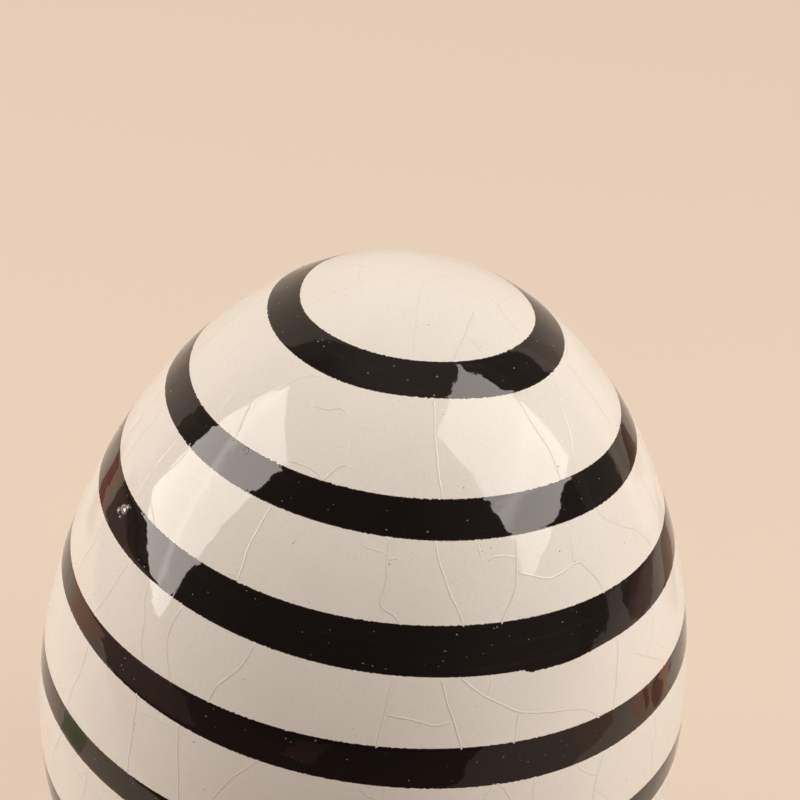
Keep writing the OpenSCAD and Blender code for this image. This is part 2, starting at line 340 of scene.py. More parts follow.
class EggStudio(bpy.types.PropertyGroup):
    """Light and backdrop"""
    backdrop: colour("Backdrop", "Colour of the paper under and behind the egg", (0.785, 0.629, 0.498))
    panel: colour("Soft box colour", "Light of the soft boxes", (1.0, 0.90, 0.84))
    panel_light: FloatProperty(name="Soft box", description="Brightness of the soft boxes", default=6.2, min=0)
    streak_light: FloatProperty(name="Streak", description="Extra brightness of the lamp in a soft box",
                                default=1.8, min=0)
    fill_light: FloatProperty(name="Fill", description="Power of the weak lamp at the front", default=0.27, min=0)
    # Darkest glow of the sheet round the camera's side: painted room shade, which the glaze mirrors
    painted_room_glow: colour("Curtain", "Cloth on the camera's side", (0.065, 0.045, 0.036))
    # Glow of that sheet straight above: painted room light from overhead
    overhead_glow: colour("Ceiling", "Cloth straight above", (0.40, 0.32, 0.265))
    # Dark sheet on the table before the egg: painted shade
    front_shade: colour("Dark cloth", "Cloth on the table before the egg", (0.10, 0.06, 0.05))
    grey_cloth: colour("Grey cloth", "Cloth at the egg's right", (0.35, 0.29, 0.26))
    # Dim sheet at the egg's left: darker there, in the glaze and in the light it throws back
    left_dim: colour("Dim cloth", "Mat at the egg's left", (0.24, 0.16, 0.13))
    mat: colour("Mat", "Mats at the egg's far right", (0.44, 0.30, 0.24))
    rust: colour("Rust", "Rug before the egg", (0.26, 0.13, 0.115))
    olive: colour("Olive", "Leaves at the egg's left", (0.36, 0.42, 0.25))
    wood: colour("Wood", "Dark boards on both sides", (0.40, 0.19, 0.13))
    peach: colour("Peach", "Pale boards on both sides", (0.78, 0.48, 0.32))
    floor_radius: length("Floor radius", "Radius of the floor", 2.5)


class Outline:
    """The egg's outline, tabled against the reach.

    It turns with an angle that is 0 at the tip and half a turn at the buried round end. Its
    breadth is that of an ellipse divided by a term that grows towards the tip.
    """

    def __init__(self, shape):
        uncut = shape.egg_height + shape.foot_cut
        angle = np.linspace(0, np.pi, TABLE_STEPS + 1)
        axial = uncut / 2 * np.cos(angle)
        bulge = np.sqrt(uncut**2 + 8 * shape.widest_drop * axial + 4 * shape.widest_drop**2)
        self.radius = shape.egg_width / 2 * uncut * np.sin(angle) / bulge
        self.height = uncut / 2 - shape.foot_cut + axial
        run = np.gradient(np.stack([self.radius, self.height]), axis=1)
        self.down_out, self.down_up = run / np.linalg.norm(run, axis=0)
        chords = np.hypot(np.diff(self.radius), np.diff(self.height))
        self.reach = np.concatenate([[0], np.cumsum(chords)])
        self.foot_reach = np.interp(0, -self.height, self.reach)

    def at(self, reach, values):
        return np.interp(reach, self.reach, values)

    def normal(self, reach, turn):
        """Outward direction: the downward run of the outline, turned a quarter turn."""
        out, up = -self.at(reach, self.down_up), self.at(reach, self.down_out)
        return np.stack([out * np.sin(turn), -out * np.cos(turn), up + 0 * turn], -1)

    def place(self, reach, turn, lift=0.0):
        """Points on the surface, lifted along its normal."""
        radius, height = self.at(reach, self.radius), self.at(reach, self.height)
        level = np.stack([radius * np.sin(turn), -radius * np.cos(turn), height + 0 * turn], -1)
        return level + self.normal(reach, turn) * np.asarray(lift)[..., None]


def round_the_egg(values):
    """A closed curve through evenly spaced values: their Fourier sum, read at every column."""
    spectrum = np.fft.rfft(values)
    spectrum[-1] /= 2
    return np.fft.irfft(spectrum, COLUMNS) * COLUMNS / len(values)


def ripple_round(rng, girth, longest, shortest, size):
    """Unevenness round the egg: chance waves between two wavelengths, scaled to a usual size."""
    count = np.arange(COLUMNS // 2 + 1)
    wave = girth / np.maximum(count, 0.5)
    spectrum = (rng.normal(size=len(count)) + 1j * rng.normal(size=len(count)))
    ripple = np.fft.irfft(spectrum * ((wave <= longest) & (wave >= shortest)), COLUMNS)
    return size * ripple / ripple.std()


def smooth_step(x):
    x = np.clip(x, 0, 1)
    return x * x * (3 - 2 * x)


def zone_edges(shape, brush, outline):
    """Where cream and black meet: the tip, both edges of each band, and the end of the glaze.

    Every edge is its mean reach, plus a slow stray, plus a fine raggedness.
    """
    spacing = (outline.foot_reach - shape.last_band - shape.first_band) / (BANDS - 1)
    middles = shape.first_band + spacing * (np.arange(BANDS) + DRIFT_SHARES)
    halves = shape.band_width * np.array(WIDTH_SHARES) / 2
    means = np.stack([middles - halves, middles + halves], 1).ravel()
    rng = np.random.default_rng(brush.seed)
    edges = [np.zeros(COLUMNS)]
    for number, mean in enumerate(means, 1):
        stray = rng.normal(0, brush.stray, CONTROL_TURNS)
        front = FRONT_STRAY.get(number, ())
        stray[:len(front)] = np.array(front) * MM
        girth = 2 * np.pi * outline.at(mean, outline.radius)
        ragged = ripple_round(rng, girth, 2.5 * MM, 0.45 * MM, brush.ragged)
        patch = np.clip(1 + 0.5 * ripple_round(rng, girth, 60 * MM, 6 * MM, 1), 0.2, 1.8)
        edges.append(mean + round_the_egg(stray) + ragged * patch)
    degrees = np.degrees(TURNS)
    reload = smooth_step((degrees - 29.5) / 1.6) * (1 - smooth_step((degrees - 38) / 12))
    edges[6] += brush.reload_step * reload
    end = outline.foot_reach - shape.bare_margin
    girth = 2 * np.pi * outline.at(end, outline.radius)
    edges.append(end + ripple_round(rng, girth, 60 * MM, 3 * MM, brush.stray))
    return edges


def skin(rows, closed, creases=(), seams=()):
    """Faces over a grid of points whose columns close on themselves.

    The rows close on themselves too, or each end is drawn together at a pole in its middle.
    Creases are rows, and seams are columns, along which the shading breaks.
    """
    high, wide = rows.shape[:2]
    down = np.arange(high if closed else high - 1)[:, None]
    across = np.arange(wide)[None, :]
    here, right = down * wide + across, down * wide + (across + 1) % wide
    below, below_right = ((down + 1) % high) * wide + across, ((down + 1) % high) * wide + (across + 1) % wide
    quads = np.stack([here, below, below_right, right], -1).reshape(-1, 4)
    points = rows.reshape(-1, 3)
    label = np.zeros((high, wide), int)
    for mark, row in enumerate(creases, 1):
        label[row] = mark
    for mark, column in enumerate(seams, 1 + len(creases)):
        label[:, column] = mark
    label = label.ravel()
    fans = np.zeros((0, 3), int)
    if not closed:
        ring = np.arange(wide)
        onward = (ring + 1) % wide
        last = (high - 1) * wide
        top = np.stack([np.full(wide, len(points)), ring, onward], -1)
        bottom = np.stack([np.full(wide, len(points) + 1), last + onward, last + ring], -1)
        fans = np.concatenate([top, bottom])
        points = np.concatenate([points, rows[:1].mean(1), rows[-1:].mean(1)])
        label = np.concatenate([label, [0, 0]])
    return points, quads, fans, label


def join(skins):
    """Several skins as one."""
    starts = np.cumsum([0] + [len(points) for points, *_ in skins[:-1]])
    return (
        np.concatenate([points for points, *_ in skins]),
        np.concatenate([quads + start for (_, quads, _, _), start in zip(skins, starts)]),
        np.concatenate([fans + start for (_, _, fans, _), start in zip(skins, starts)]),
        np.concatenate([label for *_, label in skins]),
    )


def make_piece(name, surface, material, node=None, fields=None):
    """A mesh object at the origin that rides on the egg, with its creases and its point fields."""
    points, quads, fans, label = surface
    corners = np.concatenate([quads.ravel(), fans.ravel()]).astype(np.int32)
    starts = np.concatenate([np.arange(len(quads)) * 4, len(quads) * 4 + np.arange(len(fans)) * 3])
    mesh = bpy.data.meshes.new(name)
    mesh.vertices.add(len(points))
    mesh.vertices.foreach_set("co", points.astype(np.float32).ravel())
    mesh.loops.add(len(corners))
    mesh.loops.foreach_set("vertex_index", corners)
    mesh.polygons.add(len(starts))
    mesh.polygons.foreach_set("loop_start", starts.astype(np.int32))
    mesh.update(calc_edges=True)
    if mesh.validate():
        raise RuntimeError(f"{name} has faulty faces")
    ends = np.zeros(len(mesh.edges) * 2, np.int32)
    mesh.edges.foreach_get("vertices", ends)
    first, second = label[ends[::2]], label[ends[1::2]]
    sharp = mesh.attributes.new("sharp_edge", "BOOLEAN", "EDGE")
    sharp.data.foreach_set("value", (first == second) & (first > 0))
    for field, values in (fields or {}).items():
        kind, channel = ("FLOAT", "value") if values.ndim == 1 else ("FLOAT_VECTOR", "vector")
        attribute = mesh.attributes.new(field, kind, "POINT")
        attribute.data.foreach_set(channel, values.astype(np.float32).ravel())
    mesh.materials.append(material)
    piece = bpy.data.objects.new(name, mesh)
    bpy.context.scene.collection.objects.link(piece)
    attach(piece, ROOT)
    if node:
        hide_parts(node)
    return piece


def coat_rows(outline, upper, lower, ways, lifts, seat_ways, glaze):
    """Points of a coat: its face from the upper to the lower edge, then its seat on the clay back up.

    A way is a share of the distance from the upper edge to the lower one.
    """
    width = lower - upper
    face = upper + np.asarray(ways)[:, None] * width
    seat = upper + np.asarray(seat_ways)[:, None] * width
    turns = np.broadcast_to(TURNS, face.shape)
    seat_turns = np.broadcast_to(TURNS, seat.shape)
    reaches = np.concatenate([face, seat])
    rows = np.concatenate([
        outline.place(face, turns, np.broadcast_to(lifts, face.shape)),
        outline.place(seat, seat_turns, np.full(seat.shape, -glaze)),
    ])
    return rows, reaches


def band_fields(reaches, upper, lower, poles):
    """Point fields of a coat: millimetres from its nearer edge, and its place round and along the egg."""
    inside = np.minimum(reaches - upper, lower - reaches) / MM
    sweep = np.stack([
        np.broadcast_to(np.sin(TURNS), reaches.shape),
        np.broadcast_to(-np.cos(TURNS), reaches.shape),
        reaches / MM,
    ], -1)
    inside, sweep = inside.ravel(), sweep.reshape(-1, 3)
    if poles:
        inside = np.concatenate([inside, inside[[0, -1]]])
        sweep = np.concatenate([sweep, sweep[[0, -1]]])
    return {"inside": inside, "sweep": sweep}


def node(tree, kind, inputs=None, **settings):
    """A shader node with its settings, and each input either a value or a link."""
    made = tree.nodes.new("ShaderNode" + kind)
    for name, value in settings.items():
        setattr(made, name, value)
    for name, value in (inputs or {}).items():
        if isinstance(value, bpy.types.NodeSocket):
            tree.links.new(value, made.inputs[name])
        else:
            made.inputs[name].default_value = value
    return made


def new_group(name, inputs, outputs):
    """A shader node group, built once, with the sockets that its inside links to."""
    tree = bpy.data.node_groups.new(name, "ShaderNodeTree")
    for label, kind in inputs:
        tree.interface.new_socket(label, in_out="INPUT", socket_type="NodeSocket" + kind)
    for label, kind in outputs:
        tree.interface.new_socket(label, in_out="OUTPUT", socket_type="NodeSocket" + kind)
    entry, leave = tree.nodes.new("NodeGroupInput"), tree.nodes.new("NodeGroupOutput")
    return tree, entry.outputs, leave.inputs


def rippled_skin():
    """Group: the unevenness of a fired glaze, as soft waves with finer ones on them."""
    if "rippled_skin" in bpy.data.node_groups:
        return bpy.data.node_groups["rippled_skin"]
    sockets = [("Vector", "Vector"), ("Scale", "Float"), ("Fineness", "Float")]
    tree, given, out = new_group("rippled_skin", sockets, [("Height", "Float")])
    wave = node(tree, "TexNoise", {"Vector": given["Vector"], "Scale": given["Scale"], "Detail": 3.0,
                                   "Roughness": given["Fineness"]})
    tree.links.new(wave.outputs["Fac"], out["Height"])
    return tree


def kiln_specks():
    """Group: a mask of scattered specks, one in some cells of a random grid."""
    if "kiln_specks" in bpy.data.node_groups:
        return bpy.data.node_groups["kiln_specks"]
    sockets = [("Vector", "Vector"), ("Scale", "Float"), ("Size", "Float"), ("Share", "Float")]
    tree, given, out = new_group("kiln_specks", sockets, [("Mask", "Float")])
    cells = node(tree, "TexVoronoi", {"Vector": given["Vector"], "Scale": given["Scale"]}, feature="F1")
    near = node(tree, "Math", {0: cells.outputs["Distance"], 1: given["Size"]}, operation="LESS_THAN")
    chance = node(tree, "SeparateColor", {"Color": cells.outputs["Color"]})
    picked = node(tree, "Math", {0: chance.outputs["Red"], 1: given["Share"]}, operation="LESS_THAN")
    both = node(tree, "Math", {0: near.outputs[0], 1: picked.outputs[0]}, operation="MULTIPLY")
    tree.links.new(both.outputs[0], out["Mask"])
    return tree


def clouded_colour():
    """Group: one colour that drifts into another in soft clouds."""
    if "clouded_colour" in bpy.data.node_groups:
        return bpy.data.node_groups["clouded_colour"]
    sockets = [("Vector", "Vector"), ("Scale", "Float"), ("Main", "Color"), ("Other", "Color"), ("From", "Float"),
               ("To", "Float")]
    tree, given, out = new_group("clouded_colour", sockets, [("Color", "Color")])
    cloud = node(tree, "TexNoise", {"Vector": given["Vector"], "Scale": given["Scale"], "Detail": 3.0})
    share = node(tree, "MapRange", {"Value": cloud.outputs["Fac"], "From Min": given["From"],
                                    "From Max": given["To"]}, interpolation_type="SMOOTHSTEP")
    mix = node(tree, "Mix", {"Factor": share.outputs[0]}, data_type="RGBA")
    tree.links.new(given["Main"], mix.inputs[6])
    tree.links.new(given["Other"], mix.inputs[7])
    tree.links.new(mix.outputs[2], out["Color"])
    return tree


def place_group(tree, group, inputs):
    """An instance of a node group in a material."""
    made = tree.nodes.new("ShaderNodeGroup")
    made.node_tree = group
    for name, value in inputs.items():
        if isinstance(value, bpy.types.NodeSocket):
            tree.links.new(value, made.inputs[name])
        else:
            made.inputs[name].default_value = value
    return made


def mix_colour(tree, share, main, other):
    """A node that mixes two colours."""
    mix = node(tree, "Mix", {"Factor": share}, data_type="RGBA")
    for socket, value in ((mix.inputs[6], main), (mix.inputs[7], other)):
        if isinstance(value, bpy.types.NodeSocket):
            tree.links.new(value, socket)
        else:
            socket.default_value = (*value, 1)
    return mix.outputs[2]


def new_material(name):
    """A material with its own shader, and the object's own coordinates."""
    material = bpy.data.materials.new(name)
    material.use_nodes = True
    tree = material.node_tree
    shader = tree.nodes["Principled BSDF"]
    place = node(tree, "TexCoord").outputs["Object"]
    return material, tree, shader, place


def cream_glaze(finish):
    """Glossy cream glaze: faint clouds, kiln dust, soft waves and a fine grain."""
    name = "cream_crackle_finish"
    if name in bpy.data.materials:
        return bpy.data.materials[name]
    material, tree, shader, place = new_material(name)
    shader.inputs["IOR"].default_value = 1.5
    shader.inputs["Specular IOR Level"].default_value = finish.cream_shine
    shader.inputs["Specular Tint"].default_value = (*finish.cream_glint, 1)
    clouds = place_group(tree, clouded_colour(), {
        "Vector": place, "Scale": 90.0, "Main": (*finish.cream, 1), "Other": (*finish.cream_deep, 1),
        "From": 0.45, "To": 0.85})
    mottle = place_group(tree, clouded_colour(), {
        "Vector": place, "Scale": 3400.0, "Main": clouds.outputs[0], "Other": (*finish.cream_grain, 1),
        "From": 0.33, "To": 0.80})
    dust = mottle.outputs[0]
    for scale, size, share, strength in ((1000.0, 0.065, 0.55, 0.34), (420.0, 0.050, 0.16, 0.55)):
        specks = place_group(tree, kiln_specks(), {"Vector": place, "Scale": scale, "Size": size, "Share": share})
        faint = node(tree, "Math", {0: specks.outputs[0], 1: strength}, operation="MULTIPLY")
        dust = mix_colour(tree, faint.outputs[0], dust, finish.dust)
    core = node(tree, "Attribute", attribute_name="core").outputs["Fac"]
    tree.links.new(mix_colour(tree, core, dust, finish.crack), shader.inputs["Base Color"])
    matt = node(tree, "TexNoise", {"Vector": place, "Scale": 260.0, "Detail": 2.0})
    rough = node(tree, "MapRange", {"Value": matt.outputs["Fac"], "From Min": 0.3, "From Max": 0.7,
                                    "To Min": finish.gloss * 0.8, "To Max": finish.gloss * 1.3})
    tree.links.new(rough.outputs[0], shader.inputs["Roughness"])
    skin_height = place_group(tree, rippled_skin(), {
        "Vector": place, "Scale": 380.0, "Fineness": 0.38})
    bump = node(tree, "Bump", {"Height": skin_height.outputs[0], "Strength": 1.0, "Distance": 0.030 * MM})
    tree.links.new(bump.outputs[0], shader.inputs["Normal"])
    return material


def black_glaze(finish):
    """Glossy black glaze: brush streaks, brown where it thins at an edge, lobed waves."""
    name = "black_brushed_finish"
    if name in bpy.data.materials:
        return bpy.data.materials[name]
    material, tree, shader, place = new_material(name)
    shader.inputs["IOR"].default_value = 1.5
    inside = node(tree, "Attribute", attribute_name="inside").outputs["Fac"]
    sweep = node(tree, "Attribute", attribute_name="sweep").outputs["Vector"]
    streaks = node(tree, "TexNoise", {"Vector": sweep, "Scale": 1.6, "Detail": 4.0, "Roughness": 0.6})
    ragged = node(tree, "TexNoise", {"Vector": place, "Scale": 1900.0, "Detail": 2.0})
    reach_in = node(tree, "Math", {0: ragged.outputs["Fac"], 1: 0.30}, operation="MULTIPLY")
    thin = node(tree, "MapRange", {"Value": inside, "From Min": 0.02, "From Max": reach_in.outputs[0],
                                   "To Min": 1.0, "To Max": 0.0})
    worn = node(tree, "MapRange", {"Value": streaks.outputs["Fac"], "From Min": 0.56, "From Max": 0.80,
                                   "To Min": 0.0, "To Max": 0.18})
    share = node(tree, "Math", {0: thin.outputs[0], 1: worn.outputs[0]}, operation="MAXIMUM")
    tree.links.new(mix_colour(tree, share.outputs[0], finish.black, finish.black_thin),
                   shader.inputs["Base Color"])
    matt = node(tree, "TexNoise", {"Vector": place, "Scale": 420.0, "Detail": 2.0})
    rough = node(tree, "MapRange", {"Value": matt.outputs["Fac"], "From Min": 0.3, "From Max": 0.7,
                                    "To Min": finish.gloss * 0.8, "To Max": finish.gloss * 1.6})
    tree.links.new(rough.outputs[0], shader.inputs["Roughness"])
    skin_height = place_group(tree, rippled_skin(), {
        "Vector": place, "Scale": 430.0, "Fineness": 0.30})
    bump = node(tree, "Bump", {"Height": skin_height.outputs[0], "Strength": 1.0, "Distance": 0.038 * MM})
    tree.links.new(bump.outputs[0], shader.inputs["Normal"])
    return material


def kiln_dust(name, main, other, index=1.5, scale=9000.0):
    """What the kiln left on the glaze, in two shades of one colour, with its refractive index."""
    if name in bpy.data.materials:
        return bpy.data.materials[name]
    material, tree, shader, place = new_material(name)
    shader.inputs["IOR"].default_value = index
    grains = place_group(tree, clouded_colour(), {
        "Vector": place, "Scale": scale, "Main": (*main, 1), "Other": (*other, 1), "From": 0.4, "To": 0.7})
    tree.links.new(grains.outputs[0], shader.inputs["Base Color"])
    matt = node(tree, "TexNoise", {"Vector": place, "Scale": 5000.0})
    rough = node(tree, "MapRange", {"Value": matt.outputs["Fac"], "To Min": 0.06, "To Max": 0.22})
    tree.links.new(rough.outputs[0], shader.inputs["Roughness"])
    return material


def bare_clay(finish):
    """Matte fired clay: clouds, pores and a sponged grain."""
    name = "bare_clay_finish"
    if name in bpy.data.materials:
        return bpy.data.materials[name]
    material, tree, shader, place = new_material(name)
    shader.inputs["Specular IOR Level"].default_value = 0.3
    clouds = place_group(tree, clouded_colour(), {
        "Vector": place, "Scale": 240.0, "Main": (*finish.clay, 1), "Other": (*finish.clay_dark, 1),
        "From": 0.42, "To": 0.78})
    pores = place_group(tree, kiln_specks(), {"Vector": place, "Scale": 900.0, "Size": 0.16, "Share": 0.30})
    faint = node(tree, "Math", {0: pores.outputs[0], 1: 0.7}, operation="MULTIPLY")
    tree.links.new(mix_colour(tree, faint.outputs[0], clouds.outputs[0], finish.clay_dark),
                   shader.inputs["Base Color"])
    matt = node(tree, "TexNoise", {"Vector": place, "Scale": 700.0, "Detail": 3.0})
    rough = node(tree, "MapRange", {"Value": matt.outputs["Fac"], "To Min": 0.78, "To Max": 0.98})
    tree.links.new(rough.outputs[0], shader.inputs["Roughness"])
    skin_height = place_group(tree, rippled_skin(), {
        "Vector": place, "Scale": 700.0, "Fineness": 0.75})
    bump = node(tree, "Bump", {"Height": skin_height.outputs[0], "Strength": 1.0, "Distance": 0.10 * MM})
    tree.links.new(bump.outputs[0], shader.inputs["Normal"])
    return material


def egg_lines(scene):
    """The outline and the zone edges that every operator works from."""
    outline = Outline(scene.egg_shape)
    return outline, zone_edges(scene.egg_shape, scene.egg_brush, outline)


def shares(width, step, near):
    """Ways across a zone: even steps with a few close ones by each edge, as shares of its width."""
    near = np.array(near) / width
    count = max(2, int(np.ceil(width / step)))
    even = np.linspace(0, 1, count + 1)[1:-1]
    even = even[(even > near[-1] * 1.3) & (even < 1 - near[-1] * 1.3)]
    return np.concatenate([[0], near, even, 1 - near[::-1], [1]])


class EGG_OT_lay_cream(bpy.types.Operator):
    """Lays the cream glaze: the cap over the tip, the zones between bands and the base"""
    bl_idname = "egg.lay_cream"
    bl_label = "Lay cream glaze"

    def execute(self, context):
        scene = context.scene
        shape, (outline, edges) = scene.egg_shape, egg_lines(scene)
        material = cream_glaze(scene.egg_finish)
        zones = [("crown_coat", "crown_glaze", 0, 1)]
        zones += [(f"cream_coat_{i}", f"cream_band_{i}", 2 * i, 2 * i + 1) for i in range(1, BANDS)]
        zones += [("base_coat", "base_glaze", 2 * BANDS, 2 * BANDS + 1)]
        for name, cad_node, first, last in zones:
            upper, lower = edges[first], edges[last]
            width = (lower - upper).mean()
            ways = shares(width, 0.6 * MM, (0.06 * MM, 0.2 * MM))
            lifts = np.zeros((len(ways), 1))
            seat_ways = np.linspace(1, 0, 5)
            if name == "crown_coat":
                ways, lifts, seat_ways = ways[1:], lifts[1:], seat_ways[:-1]
            if name == "base_coat":
                back = np.minimum((1 - ways) * width / shape.glaze_roll, 1)
                lifts = -shape.glaze * (1 - np.sqrt(1 - (1 - back) ** 2))[:, None] * 0.98
            rows, reaches = coat_rows(outline, upper, lower, ways, lifts, seat_ways, shape.glaze)
            closed = name != "crown_coat"
            creases = (0, len(ways) - 1, len(ways), len(rows) - 1) if closed else (len(ways) - 1, len(ways))
            fields = band_fields(reaches, upper, lower, not closed)
            make_piece(name, skin(rows, closed, creases), material, cad_node, fields)
        return {"FINISHED"}


class EGG_OT_brush_bands(bpy.types.Operator):
    """Brushes the black bands, each proud of the cream with rounded shoulders"""
    bl_idname = "egg.brush_bands"
    bl_label = "Brush black bands"

    def execute(self, context):
        scene = context.scene
        shape, (outline, edges) = scene.egg_shape, egg_lines(scene)
        material = black_glaze(scene.egg_finish)
        rise = shape.band_shoulder * (1 - np.cos(np.radians(np.arange(15, 91, 15))))
        for i in range(1, BANDS + 1):
            upper, lower = edges[2 * i - 1], edges[2 * i]
            width = (lower - upper).mean()
            ways = shares(width, 0.4 * MM, rise)
            inward = np.minimum(ways, 1 - ways) * width
            lifts = shape.band_relief * smooth_step(inward / shape.band_shoulder)[:, None]
            rows, reaches = coat_rows(outline, upper, lower, ways, lifts, np.linspace(1, 0, 4), shape.glaze)
            creases = (len(ways), len(rows) - 1)
            fields = band_fields(reaches, upper, lower, False)
            make_piece(f"black_coat_{i}", skin(rows, True, creases), material,
                       f"black_band_{i}", fields)
        return {"FINISHED"}


LINE_STEP = 0.3 * MM
LINE_SECTION = 7
LINE_FADE = 0.6 * MM
LINE_DARK = 0.3
LINE_SINK = 0.002 * MM
LINE_KEEL = 0.06 * MM
# How far the crack itself shows at each point across a line, and at its keel
LINE_CORE = (0, 0, 0.4, 1, 0.4, 0, 0, 0)


def eased(points, step):
    """A smooth curve through points, with a station every step: each stretch is a Catmull-Rom cubic."""
    padded = np.concatenate([2 * points[:1] - points[1:2], points, 2 * points[-1:] - points[-2:-1]])
    spans = np.linalg.norm(np.diff(points, axis=0), axis=1)
    stations = max(8, int(spans.sum() / step))
    along = np.interp(np.linspace(0, spans.sum(), stations), np.concatenate([[0], np.cumsum(spans)]),
                      np.arange(len(points)))
    start = np.minimum(along.astype(int), len(points) - 2)
    t = (along - start)[:, None]
    before, here, there, after = (padded[start + k] for k in range(4))
    return 0.5 * (2 * here + (there - before) * t + (2 * before - 5 * here + 4 * there - after) * t**2
                  + (3 * here - before - 3 * there + after) * t**3)


def crackle_line(outline, crackle, rng, strength, route):
    """One raised line: a low ridge carried along a route over the glaze.

    Across it, the height falls off as a squared cosine. Along it, both ends fade away, and the
    route wanders a little to each side in three waves.
    """
    turn, reach = np.radians([p[0] for p in route]), np.array([p[1] for p in route]) * MM
    girth = outline.at(reach, outline.radius).mean()
    flat = eased(np.stack([turn * girth, reach], -1), LINE_STEP)
    run = np.gradient(flat, axis=0)
    run /= np.linalg.norm(run, axis=1)[:, None]
    side = np.stack([-run[:, 1], run[:, 0]], -1)
    way = np.arange(len(flat)) * LINE_STEP
    waves = np.array([0.9, 1.7, 4.1]) * MM * rng.uniform(0.8, 1.2, 3)
    phase = rng.uniform(0, 2 * np.pi, 3)
    wander = (np.sin(2 * np.pi * way[:, None] / waves + phase) * np.array([0.008, 0.015, 0.04]) * MM).sum(1)
    flat = flat + side * wander[:, None]
    turn, reach = flat[:, 0] / girth, flat[:, 1]
    middle = outline.place(reach, turn)
    out = outline.normal(reach, turn)
    along = np.gradient(middle, axis=0)
    along /= np.linalg.norm(along, axis=1)[:, None]
    beside = np.cross(out, along)
    fade = smooth_step(np.minimum(way, way[-1] - way) / LINE_FADE)
    half = crackle.line_width / 2 * (0.45 + 0.55 * fade) * (0.75 + 0.25 * strength)
    tall = crackle.line_height * strength * fade * (1 + 0.15 * np.sin(2 * np.pi * way / (3.1 * MM) + phase[0]))
    across = np.linspace(-1, 1, LINE_SECTION)
    lift = tall[:, None] * np.cos(np.pi / 2 * across) ** 2 - LINE_SINK
    ridge = middle[:, None] + beside[:, None] * (half[:, None] * across)[..., None] + out[:, None] * lift[..., None]
    keel = (middle - out * LINE_KEEL)[:, None]
    core = np.append((LINE_DARK * strength * fade[:, None] * LINE_CORE).ravel(), [0, 0])
    return skin(np.concatenate([ridge, keel], 1), False, seams=(0, LINE_SECTION - 1)), core


def chance_lines(outline, crackle, rng, upper, lower, start, end):
    """Crackle that chance lays over a zone: lines across it every cell or so, and some that join two."""
    middle = (upper + lower) / 2
    girth = outline.at(middle, outline.radius)
    cell = np.degrees(crackle.cell / girth)
    count = max(2, int(round((end - start) / cell)))
    posts = start + (np.arange(count) + 0.5 + rng.uniform(-0.32, 0.32, count)) * (end - start) / count
    levels = np.linspace(upper, lower, 5) / MM
    lines = []
    routes = []
    for post in posts:
        lean = rng.normal(0, 0.10) * cell
        steps = post + lean * np.linspace(-1, 1, 5) + np.cumsum(rng.normal(0, 0.05, 5)) * cell
        routes.append(steps)
        lines.append((rng.uniform(0.6, 1.0), tuple(zip(steps, levels))))
    for near, far in zip(routes[:-1], routes[1:]):
        if rng.uniform() < 0.55:
            a, b = rng.integers(0, 5, 2)
            bend = rng.normal(0, 0.8)
            way = np.array([0, 0.3, 0.65, 1])
            depth = levels[a] + (levels[b] - levels[a]) * way + bend * np.sin(np.pi * way)
            route = tuple(zip(near[a] + (far[b] - near[a]) * way, np.clip(depth, levels[0] + 0.6, levels[-1] - 0.6)))
            lines.append((rng.uniform(0.5, 0.9), route))
    return lines


def scattered(rng, usual, upper, lower):
    """Chance places over a zone: as many as chance gives round a usual number."""
    count = rng.poisson(usual)
    return rng.uniform(0, 360, count), rng.uniform(upper, lower, count)


class EGG_OT_raise_crackle(bpy.types.Operator):
    """Raises the crackle lines on every cream zone"""
    bl_idname = "egg.raise_crackle"
    bl_label = "Raise crackle lines"

    def execute(self, context):
        scene = context.scene
        outline, edges = egg_lines(scene)
        crackle = scene.egg_crackle
        material = cream_glaze(scene.egg_finish)
        rng = np.random.default_rng(crackle.seed)
        means = [edge.mean() for edge in edges]
        for i in range(BANDS + 1):
            upper, lower = means[2 * i], means[2 * i + 1]
            if i == 0:
                lines = list(CROWN_LINES)
                lines += chance_lines(outline, crackle, rng, 7 * MM, lower, 125, 330)
            else:
                lines = list(FRONT_LINES.get(i, ()))
                start, end = (DRAWN_TO, 360 + DRAWN_FROM) if lines else (DRAWN_FROM, 360 + DRAWN_FROM)
                lines += chance_lines(outline, crackle, rng, upper, lower, start, end)
            ridges, cores = zip(*(crackle_line(outline, crackle, rng, *line) for line in lines))
            name = f"cream_crackle_{i}" if i else "crown_crackle"
            make_piece(name, join(ridges), material,
                       fields={"core": np.concatenate(cores)})
        return {"FINISHED"}


FEW_RINGS, MANY_RINGS = np.array([0.45, 0.8, 1.0]), np.array([0.2, 0.4, 0.5, 0.6, 0.75, 0.9, 1.0])
# The height of a bump over its ellipse: how many points round it, its rings, and the height at each
BLISTER = (8, FEW_RINGS, (1 - FEW_RINGS**2) ** 0.7)
LUMP = (14, MANY_RINGS, (1 - MANY_RINGS**2) ** 0.6)
CRATER = (24, MANY_RINGS, np.where(MANY_RINGS > 0.5, np.sin(np.pi * (MANY_RINGS - 0.5) / 0.5), 0))
# A lump of slag, and the ring that a burst bubble left: turn in degrees, then reach, half widths
# round the egg and along it, and height in millimetres
SLAG = (
    (-62.7, 48.2, 0.85, 0.60, 0.26), (-63.9, 48.9, 0.50, 0.45, 0.34), (-61.6, 47.5, 0.48, 0.36, 0.28),
    (-62.4, 49.2, 0.30, 0.24, 0.24),
)
BURST = ((-39.5, 32.3, 0.5, 0.5, 0.03),)
DOME_SINK = 0.004 * MM
DOME_KEEL = 0.05 * MM


